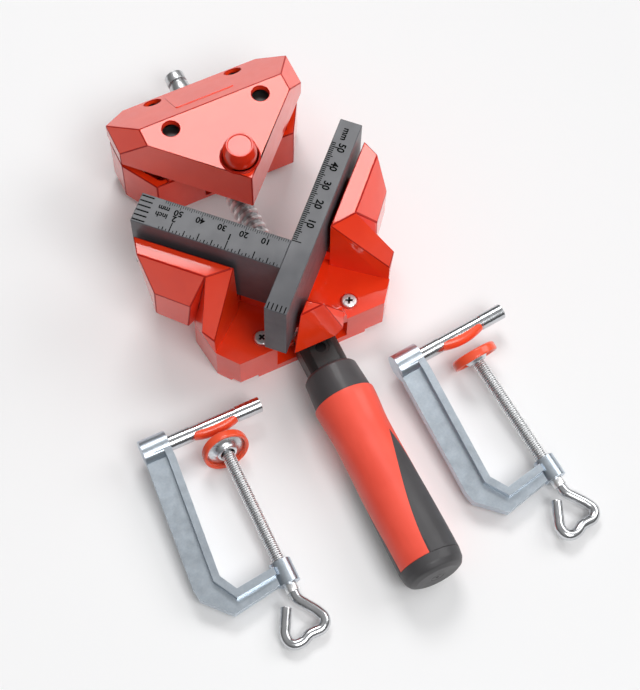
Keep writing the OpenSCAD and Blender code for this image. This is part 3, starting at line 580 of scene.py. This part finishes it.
def left_marks():
    marks = Marks(LEFT_ALONG, LEFT_IN)
    for i in range(1, 58):
        marks.line(i, 0.3, 0.7 * millimetre_length(i), 0.26, -LEFT_IN)
    for i in range(1, 36):
        width = 0.46 if i % 2 == 0 else 0.34
        marks.line(INCH * i / 16, LEFT_COVER_THICK - 0.3, inch_length(i), width, LEFT_IN)
    for i in range(10, 60, 10):
        marks.word(str(i), 4.0, i, 4.4, LEFT_ALONG, -LEFT_IN)
    for i in (1, 2):
        marks.word(str(i), 4.0, INCH * i, LEFT_COVER_THICK - 6.9, LEFT_ALONG, -LEFT_IN)
    marks.word("mm", 3.4, 56.8, 4.2, LEFT_ALONG, -LEFT_IN)
    marks.word("inch", 3.4, 56.8, 7.6, LEFT_ALONG, -LEFT_IN)
    for i in range(6):
        marks.line(LEFT_COVER_REACH - 0.4, 1.2 + 2.42 * i, 5.8, 0.66, -LEFT_ALONG)
    return marks.done("left_scale_marks")


scale_cover("scale_cover_right")
scale_cover("scale_cover_left")
right_marks()
left_marks()


# Cross slotted deck screws

SLOT_SPAN, SLOT_WIDTH, SLOT_DEPTH = 5.0, 1.35, 1.3
SLOT_Z = DECK_SCREW_TOP + 0.2
SLOT_SHADE_LOW, SLOT_SHADE_HIGH = DECK_SCREW_TOP - 1.5, DECK_SCREW_TOP - 0.3


def cut(obj, cutter):
    """Cuts one piece out of another and takes the cutter away."""
    modifier = obj.modifiers.new("cut", "BOOLEAN")
    modifier.operation = "DIFFERENCE"
    modifier.solver = "EXACT"
    modifier.object = cutter
    apply_modifiers(obj)
    remove(cutter)


def cross_cutter(place, degrees):
    """Cross that narrows downwards, as a screwdriver's tip does."""
    arms = [box("arm", (SLOT_SPAN, SLOT_WIDTH, 2 * SLOT_DEPTH)),
            box("arm", (SLOT_WIDTH, SLOT_SPAN, 2 * SLOT_DEPTH))]
    for arm in arms:
        pick_points(arm, lambda p: p.z < 0.0)
        bpy.ops.transform.resize(value=(0.45, 0.45, 1.0))
        leave_edit()
        arm.rotation_euler = (0.0, 0.0, math.radians(degrees))
        arm.location = Vector(place) * MM
        settle(arm)
    return arms


def deck_screws():
    """Flat heads with their cross slots dark inside as painted shade."""
    obj = merged_copy("deck_screws", "deck_screws_dressed")
    for x, degrees in ((DECK_SCREW_X, 62.0), (-DECK_SCREW_X, 20.0)):
        for arm in cross_cutter((x, DECK_SCREW_Y, SLOT_Z), degrees):
            cut(obj, arm)
    bevel(obj, 0.12, 2, 35.0)
    smooth(obj, 20.0)
    flatten(obj)
    obj.data.materials.append(screw_white)
    obj.data.materials.append(pin_dark)
    # Painted shade: the faces inside the slots get the dark pin material.
    for face in obj.data.polygons:
        spot = face.center / MM
        off_centre = math.hypot(abs(spot.x) - DECK_SCREW_X, spot.y - DECK_SCREW_Y)
        if off_centre < SLOT_SPAN / 2 + 0.05 and SLOT_SHADE_LOW < spot.z < SLOT_SHADE_HIGH:
            face.material_index = 1
    return give(obj, screw_white, "base", "zinc_screws", "deck_screws")


deck_screws()


# Threads

def thread_ridge(name, root, crest, pitch, foot, top, turns, steps):
    """Ridge wound round +Z from z = 0; foot and top are its widths."""
    deselect()
    bpy.ops.mesh.primitive_plane_add(size=1.0, rotation=(math.radians(90.0), 0.0, 0.0))
    obj = bpy.context.object
    obj.name = name
    obj.scale = ((crest - root) * MM, foot * MM, 1.0)
    obj.location = ((root + crest) / 2 * MM, 0.0, 0.0)
    settle(obj)
    pick_points(obj, lambda p: p.x > (root + crest) / 2)
    bpy.ops.transform.resize(value=(1.0, 1.0, top / foot), center_override=(crest * MM, 0.0, 0.0))
    bpy.ops.mesh.select_all(action="SELECT")
    bpy.ops.mesh.delete(type="ONLY_FACE")
    leave_edit()
    wind = obj.modifiers.new("wind", "SCREW")
    wind.axis = "Z"
    wind.angle = 2 * math.pi
    wind.screw_offset = pitch * MM
    wind.iterations = turns
    wind.steps = wind.render_steps = steps
    apply_modifiers(obj)
    edit(obj)
    bpy.ops.mesh.select_mode(type="EDGE")
    bpy.ops.mesh.select_all(action="DESELECT")
    bpy.ops.mesh.select_non_manifold()
    bpy.ops.mesh.fill_holes(sides=0)
    leave_edit()
    recalculate(obj)
    return obj


def spindle():
    """Spindle with its trapezoid thread, the rod turned down to the thread's root."""
    root = SPINDLE_R - SPINDLE_THREAD_DEPTH
    rod = merged_copy("spindle", "spindle_rod")
    bevel(rod, 0.35, 2)
    axis = Vector((0.0, 0.0, SPINDLE_Z * MM))
    pick_points(rod, lambda p: THREAD_START - 0.2 < p.y < THREAD_END + 0.2
                and math.hypot(p.x, p.z - SPINDLE_Z) > SPINDLE_R - 0.5)
    bpy.ops.transform.resize(value=(root / SPINDLE_R, 1.0, root / SPINDLE_R), center_override=axis)
    leave_edit()
    turns = int((THREAD_END - THREAD_START) / SPINDLE_LEAD) - 1
    ridge = thread_ridge("spindle_ridge", root - 0.2, SPINDLE_R, SPINDLE_LEAD, 2.5, 1.3, turns, 40)
    ridge.rotation_euler = (math.radians(-90.0), 0.0, 0.0)
    ridge.location = Vector((0.0, THREAD_START + 1.5, SPINDLE_Z)) * MM
    settle(ridge)
    obj = join("spindle_threaded", [rod, ridge])
    smooth(obj, 34.0)
    metal = thread_metal("spindle_zinc", (0.0, 0.0, SPINDLE_Z), (0.0, 0.0, 0.0), root, SPINDLE_R)
    return give(obj, metal, "spindle", "plated_spindle", "spindle")


def clamp_matrix(clamp):
    turn = Matrix.Identity(4)
    for axis, degrees in zip("XYZ", clamp["turn"]):
        turn = Matrix.Rotation(math.radians(degrees), 4, axis) @ turn
    return Matrix.Translation(Vector(clamp["place"]) * MM) @ turn


def cylinder(name, radius, length):
    """Cylinder along +Y from the origin, in millimetres."""
    deselect()
    bpy.ops.mesh.primitive_cylinder_add(vertices=32, radius=radius * MM, depth=length * MM,
                                        rotation=(math.radians(-90.0), 0.0, 0.0))
    obj = bpy.context.object
    obj.name = name
    obj.location = (0.0, length / 2 * MM, 0.0)
    settle(obj)
    return obj


def clamp_screw(side, clamp):
    """Table clamp screw: plain end at the loop and fine thread."""
    start, end = SHANK_END, CLAMP_SCREW_END
    root = CLAMP_SCREW_R - CLAMP_THREAD_DEPTH
    core = cylinder("core", root, end - start)
    core.location = (0.0, start * MM, 0.0)
    shank = cylinder("shank", CLAMP_SCREW_R, CLAMP_SHANK)
    bevel(shank, 0.5, 2)
    shank.location = (0.0, start * MM, 0.0)
    turns = int((end - start - CLAMP_SHANK - 1.5) / CLAMP_PITCH)
    ridge = thread_ridge("ridge", root - 0.1, CLAMP_SCREW_R, CLAMP_PITCH, 0.8, 0.22, turns, 24)
    ridge.rotation_euler = (math.radians(-90.0), 0.0, 0.0)
    ridge.location = (0.0, (start + CLAMP_SHANK) * MM, 0.0)
    parts = [core, shank, ridge]
    for part in parts:
        settle(part)
        part.matrix_world = clamp_matrix(clamp)
        settle(part)
    obj = join(side + "_clamp_screw_threaded", parts)
    smooth(obj, 40.0)
    metal = thread_metal(side + "_screw_zinc", clamp["place"], clamp["turn"], root, CLAMP_SCREW_R)
    return give(obj, metal, side + "_screw", "plated_spindle", side + "_clamp_screw")


# Table clamps' loops, pads and pressure plates

LOOP_PATH = [
    (0.0, SHANK_END + 0.4), (0.2, -86.4), (2.7, -90.6), (5.9, -95.6), (7.1, -99.8), (4.6, -102.7),
    (0.6, -102.9), (-1.6, -103.0), (-6.4, -104.7), (-10.3, -103.6), (-11.4, -99.6), (-9.6, -95.4),
    (-7.4, -91.4), (-5.8, -88.4)
]


def screw_loop(side, clamp):
    """Rod bent to a heart whose free end stops beside the shank."""
    deselect()
    bpy.ops.curve.primitive_bezier_curve_add()
    obj = bpy.context.object
    obj.data.dimensions = "3D"
    spline = obj.data.splines[0]
    spline.bezier_points.add(len(LOOP_PATH) - len(spline.bezier_points))
    for knot, (x, y) in zip(spline.bezier_points, LOOP_PATH):
        knot.co = (x * MM, y * MM, 0.0)
        knot.handle_left_type = knot.handle_right_type = "AUTO"
    obj.data.resolution_u = 6
    obj.data.bevel_depth = LOOP_R * MM
    obj.data.bevel_resolution = 5
    obj.data.use_fill_caps = True
    bpy.ops.object.convert(target="MESH")
    obj = bpy.context.object
    obj.name = side + "_screw_loop_bent"
    recalculate(obj)
    bevel(obj, 0.5, 2, 50.0)
    obj.matrix_world = clamp_matrix(clamp) @ Matrix.Rotation(math.radians(clamp["loop_turn"]), 4, "Y")
    settle(obj)
    smooth(obj, 40.0)
    return give(obj, loop_steel, side + "_screw", "plated_spindle", side + "_screw_loop")


def bar_pad(side, clamp):
    """Plastic crescent: a rod bowed away from the bar, with its ends sunk in the bar."""
    radius, sunk, cuts = BAR_R - 0.37, 0.05, 12
    deselect()
    bpy.ops.mesh.primitive_cylinder_add(vertices=40, radius=radius * MM, depth=2 * PAD_HALF * MM,
                                        rotation=(0.0, math.radians(90.0), 0.0))
    obj = bpy.context.object
    obj.name = side + "_bar_pad_bowed"
    settle(obj)
    for i in range(1, cuts):
        edit(obj)
        place = (2.0 * i / cuts - 1.0) * PAD_HALF * MM
        bpy.ops.mesh.bisect(plane_co=(place, 0.0, 0.0), plane_no=(1.0, 0.0, 0.0))
        leave_edit()
    for i in range(cuts + 1):
        part = 2.0 * i / cuts - 1.0
        bow = (BAR_R + PAD_T - radius) * (1.0 - part ** 2) - sunk * part ** 2
        pick_points(obj, lambda p: abs(p.x - part * PAD_HALF) < 0.05)
        bpy.ops.transform.translate(value=(0.0, -bow * MM, 0.0))
        leave_edit()
    obj.matrix_world = clamp_matrix(clamp)
    settle(obj)
    smooth(obj, 40.0)
    return give(obj, pad_orange, side + "_clamp", "orange_pad", side + "_bar_pad")


def turned(name, rings, sides=48):
    """Solid of revolution round +Y, drawn out ring by ring; a ring is (radius, y)."""
    deselect()
    radius, y = rings[0]
    bpy.ops.mesh.primitive_circle_add(vertices=sides, radius=radius * MM, fill_type="NGON",
                                      location=(0.0, y * MM, 0.0), rotation=(math.radians(90.0), 0.0, 0.0))
    obj = bpy.context.object
    obj.name = name
    settle(obj)
    edit(obj)
    bpy.ops.mesh.select_mode(type="FACE")
    bpy.ops.mesh.select_all(action="SELECT")
    for next_radius, next_y in rings[1:]:
        bpy.ops.mesh.extrude_region_move(TRANSFORM_OT_translate={"value": (0.0, (next_y - y) * MM, 0.0)})
        grow = next_radius / radius
        bpy.ops.transform.resize(value=(grow, 1.0, grow), center_override=(0.0, next_y * MM, 0.0))
        radius, y = next_radius, next_y
    leave_edit()
    recalculate(obj)
    return obj


def pressure_plate(side, clamp):
    """Dished plate that runs smoothly into the hub round the screw's end."""
    bore = CLAMP_SCREW_R + 0.35
    obj = turned(side + "_pressure_plate_dished", [
        (PLATE_R, 3.2), (PLATE_R, 2.4), (8.6, 2.1), (7.4, 1.75), (6.2, 1.35), (5.3, 0.8), (4.8, 0.1),
        (4.5, -0.5), (4.1, -0.75), (bore, -0.75), (bore, 2.4)
    ])
    tilt = Matrix.Rotation(math.radians(clamp["plate_tilt"]), 4, "X")
    pivot = Matrix.Translation(Vector((0.0, PLATE_Y + PLATE_PIVOT, 0.0)) * MM)
    to_pivot = Matrix.Translation(Vector((0.0, -PLATE_PIVOT, 0.0)) * MM)
    obj.matrix_world = clamp_matrix(clamp) @ pivot @ tilt @ to_pivot
    settle(obj)
    smooth(obj, 40.0)
    return give(obj, plate_steel, side + "_plate", "chrome_bar", side + "_pressure_plate")


spindle()
for side, clamp in (("left", LEFT_CLAMP), ("right", RIGHT_CLAMP)):
    clamp_screw(side, clamp)
    screw_loop(side, clamp)
    bar_pad(side, clamp)
    pressure_plate(side, clamp)


# Plug in the handle's end

def end_plug():
    """Round plug with a dimple, set in the cap's end."""
    low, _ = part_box("handle_end_cap")
    mouth = low[1] / MM
    rings = [(2.4, 1.25), (2.9, 0.2), (2.7, 0.06), (0.9, 0.06), (0.7, 0.5)]
    obj = turned("end_plug", [(radius, mouth + y) for radius, y in rings], 32)
    obj.location = (0.0, 0.0, SPINDLE_Z * MM)
    settle(obj)
    smooth(obj, 40.0)
    return give(obj, soft_grey, "spindle", "grey_plastic")


end_plug()


# Bare raised panel on the back slope of the moving jaw

JAW_DOWN = (JAW_BACK - JAW_RIDGE).normalized()
PANEL_SIZE = (29.0, 19.5, 0.7)
PANEL_DOWN = 18.6


def round_upright_edges(obj, radius):
    """Rounds a box's four corners as seen from above."""
    pick_edges(obj, lambda number, low, high: abs(low.z - high.z) > 0.1)
    bpy.ops.mesh.bevel(offset=radius * MM, segments=4)
    leave_edit()


def jaw_panel():
    obj = box("jaw_panel", PANEL_SIZE)
    round_upright_edges(obj, 1.2)
    bevel(obj, 0.15, 2, 60.0)
    obj.matrix_world = axes_place((1.0, 0.0, 0.0), JAW_DOWN, JAW_RIDGE + JAW_DOWN * PANEL_DOWN)
    settle(obj)
    smooth(obj)
    flatten(obj)
    return give(obj, red_paint, "jaw", "red_casting")


jaw_panel()


# Black cups below the four holes of the moving jaw: painted shade inside the holes

WELL_OUT_R, WELL_IN_R = 4.6, 4.05
WELL_TOP, WELL_FLOOR, WELL_END = -0.4, -4.1, -4.6


def hole_wells():
    """Closed black cups under the holes in the jaw's top and back slope: painted shade."""
    cup = turned("well", [
        (WELL_OUT_R, WELL_END), (WELL_OUT_R, WELL_TOP), (WELL_IN_R, WELL_TOP), (WELL_IN_R, WELL_FLOOR)
    ], 32)
    slope_axis = (0.0, -JAW_DOWN.z, JAW_DOWN.y)
    wells = []
    for (x, y, z), axis in ((TOP_HOLE, (0.0, 0.0, 1.0)), (BACK_HOLE, slope_axis)):
        for side in (-1.0, 1.0):
            place = axes_place((-1.0, 0.0, 0.0), axis, (side * x, y, z))
            wells.append(placed_copy(cup, place))
    remove(cup)
    obj = join("hole_wells", wells)
    settle(obj)
    smooth(obj, 40.0)
    # Black as painted shade inside the holes.
    return give(obj, neck_black, "jaw", "red_casting")


hole_wells()


# Floor, light and camera

FLOOR_GLOW = 0.15
GLOW_REACH = 0.2
GLOW_HEADING = (-0.988, 0.156, 0.0)
SKY_LOW, SKY_HIGH, SKY_FULL_AT = 0.02, 0.34, 0.8
PHOTO_WIDTH, FOCAL_PIXELS = 640.0, 1782.96
SENSOR = 36.0
CAMERA_PLACE = (-0.15696, -0.32633, 0.74607)
CAMERA_RIGHT = (0.90107, -0.43330, 0.01827)
CAMERA_UP = (0.38625, 0.82097, 0.42050)


def area_light(name, place, target, size, power):
    data = bpy.data.lights.new(name, "AREA")
    data.shape = "RECTANGLE"
    data.size, data.size_y = size
    data.energy = power
    obj = bpy.data.objects.new(name, data)
    bpy.context.scene.collection.objects.link(obj)
    obj.location = place
    obj.rotation_euler = (Vector(target) - Vector(place)).to_track_quat("-Z", "Y").to_euler()
    return obj


def make_floor():
    """Pale floor with a faint glow towards the left, seen directly and in reflections."""
    deselect()
    bpy.ops.mesh.primitive_plane_add(size=8.0, location=(0.0, 0.0, 0.0))
    floor = bpy.context.object
    floor.name = "floor"
    material, shader = blank_material("floor_white")
    shader.inputs["Base Color"].default_value = (0.815, 0.815, 0.82, 1.0)
    shader.inputs["Roughness"].default_value = 0.6
    shader.inputs["Emission Color"].default_value = (1.0, 1.0, 1.0, 1.0)
    tree = material.node_tree
    path = tree.nodes.new("ShaderNodeLightPath")
    seen = path.outputs["Is Camera Ray"]
    for ray in ("Is Glossy Ray", "Is Transmission Ray"):
        either = tree.nodes.new("ShaderNodeMath")
        either.operation = "MAXIMUM"
        tree.links.new(seen, either.inputs[0])
        tree.links.new(path.outputs[ray], either.inputs[1])
        seen = either.outputs["Value"]
    coords = tree.nodes.new("ShaderNodeTexCoord")
    away = tree.nodes.new("ShaderNodeVectorMath")
    away.operation = "DOT_PRODUCT"
    away.inputs[1].default_value = GLOW_HEADING
    tree.links.new(coords.outputs["Object"], away.inputs[0])
    glow = map_range(tree, away.outputs["Value"], -GLOW_REACH, GLOW_REACH, 0.0, FLOOR_GLOW)
    lift = tree.nodes.new("ShaderNodeMath")
    lift.operation = "MULTIPLY"
    tree.links.new(seen, lift.inputs[0])
    tree.links.new(glow, lift.inputs[1])
    tree.links.new(lift.outputs["Value"], shader.inputs["Emission Strength"])
    floor.data.materials.append(material)


def make_world():
    """White sky, dim at the horizon and brighter overhead."""
    world = bpy.data.worlds.new("studio")
    world.use_nodes = True
    tree = world.node_tree
    background = tree.nodes["Background"]
    background.inputs["Color"].default_value = (1.0, 1.0, 1.0, 1.0)
    direction = tree.nodes.new("ShaderNodeTexCoord")
    parts = tree.nodes.new("ShaderNodeSeparateXYZ")
    tree.links.new(direction.outputs["Generated"], parts.inputs["Vector"])
    sky = map_range(tree, parts.outputs["Z"], 0.0, SKY_FULL_AT, SKY_LOW, SKY_HIGH)
    tree.links.new(sky, background.inputs["Strength"])
    bpy.context.scene.world = world


def make_camera():
    data = bpy.data.cameras.new("camera")
    data.sensor_fit = "HORIZONTAL"
    data.sensor_width = SENSOR
    data.lens = FOCAL_PIXELS / PHOTO_WIDTH * SENSOR
    data.clip_start = 0.05
    data.clip_end = 20.0
    camera = bpy.data.objects.new("camera", data)
    bpy.context.scene.collection.objects.link(camera)
    right = Vector(CAMERA_RIGHT).normalized()
    up = Vector(CAMERA_UP).normalized()
    back = right.cross(up).normalized()
    up = back.cross(right)
    turn = Matrix((right, up, back)).transposed().to_4x4()
    camera.matrix_world = Matrix.Translation(CAMERA_PLACE) @ turn
    bpy.context.scene.camera = camera


make_floor()
make_world()
area_light("back_box", (0.28, 0.76, 1.14), (0.0, 0.02, 0.03), (0.56, 0.46), 7.0)
area_light("right_box", (0.95, -0.05, 0.80), (0.0, 0.0, 0.02), (0.7, 0.7), 4.4)
area_light("front_box", (0.16, -0.74, 1.05), (0.02, -0.08, 0.02), (0.6, 0.6), 7.0)
make_camera()
bpy.context.scene.view_settings.view_transform = "Standard"
